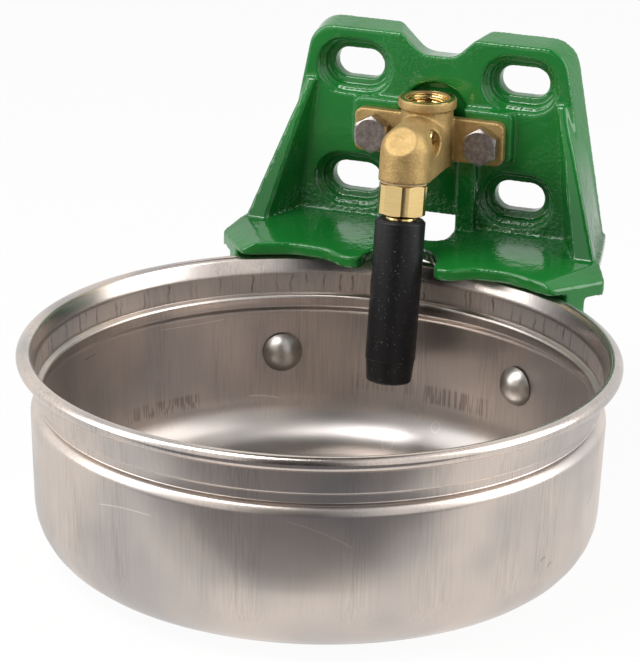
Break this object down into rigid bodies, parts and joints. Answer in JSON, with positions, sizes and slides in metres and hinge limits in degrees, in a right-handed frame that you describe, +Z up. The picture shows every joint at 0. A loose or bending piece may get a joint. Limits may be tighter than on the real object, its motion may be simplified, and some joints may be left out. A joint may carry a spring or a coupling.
{
  "type": "livestock drinking bowl",
  "caption": "Round stainless drinking bowl on a cast wall bracket, with a brass valve that opens when its hanging rubber-sleeved tube is pushed aside.",
  "frame": {"origin": "centre of the bowl's flat underside", "axes": "+Z up through the bowl's middle, +Y towards the wall, +X to the right as the animal's side is seen; the animal drinks from -Y"},
  "size_m": [0.28, 0.318, 0.211],
  "materials": {
    "stainless_bowl": "brushed stainless sheet",
    "green_enamel": "glossy green enamel on cast iron",
    "stainless_fastener": "stainless bolt, satin",
    "zinc_bolt": "zinc plated bolt",
    "black_rubber": "matte black rubber",
    "cast_brass": "sand cast brass, machined seats",
    "turned_brass": "turned brass",
    "acetal": "white bearing plastic",
    "fibre_gasket": "pressed fibre"
  },
  "bodies": {
    "frame": {"bowl": "stainless_bowl", "wall_bracket": "green_enamel", "bowl_bolts": "stainless_fastener", "bowl_bolt_seals": "black_rubber", "bowl_seat_pads": "black_rubber", "bowl_bolt_washers": "stainless_fastener", "bowl_bolt_nuts": "stainless_fastener", "valve_body": "cast_brass", "valve_mounting_bolts": "zinc_bolt", "inlet_strainer": "stainless_fastener", "valve_seat": "turned_brass", "valve_spring": "stainless_fastener", "nut_gasket": "fibre_gasket", "tube_nut": "turned_brass"},
    "swivel": {"pivot_ring": "acetal"},
    "tube": {"valve_tube": "turned_brass", "tube_sleeve": "black_rubber"},
    "plunger": {"valve_plunger": "turned_brass", "plunger_seal": "black_rubber", "seal_retainer": "stainless_fastener"},
    "throttle_slide": {"throttle_o_ring": "black_rubber"},
    "throttle_screw": {"throttle_screw": "turned_brass"}
  },
  "joints": [
    {"name": "tube_turn", "type": "hinge", "parent": "frame", "child": "swivel", "pos_m": [0, 0.11433, 0.14047], "axis": [0, 0.1392, 0.9903], "continuous": true},
    {"name": "tube_tilt", "type": "hinge", "parent": "swivel", "child": "tube", "pos_m": [0, 0.11433, 0.14047], "axis": [1, 0, 0], "range_deg": [0, 7], "stiffness_Nm_per_rad": 0.26, "springref_deg": -22.06},
    {"name": "plunger_lift", "type": "slide", "parent": "frame", "child": "plunger", "axis": [0, 0.1392, 0.9903], "range_m": [0, 0.00095], "deforming": ["valve_spring"]},
    {"name": "throttle_feed", "type": "slide", "parent": "frame", "child": "throttle_slide", "axis": [1, 0, 0], "range_m": [-0.0018, 0.0018]},
    {"name": "throttle_turn", "type": "hinge", "parent": "throttle_slide", "child": "throttle_screw", "pos_m": [0.0055, 0.129, 0.1645], "axis": [1, 0, 0], "range_deg": [-440, 440]}
  ],
  "couplings": [
    {"joint": "plunger_lift", "follows": "tube_tilt", "m_per_rad": 0.007386},
    {"joint": "throttle_turn", "follows": "throttle_feed", "rad_per_m": 4188.8}
  ]
}
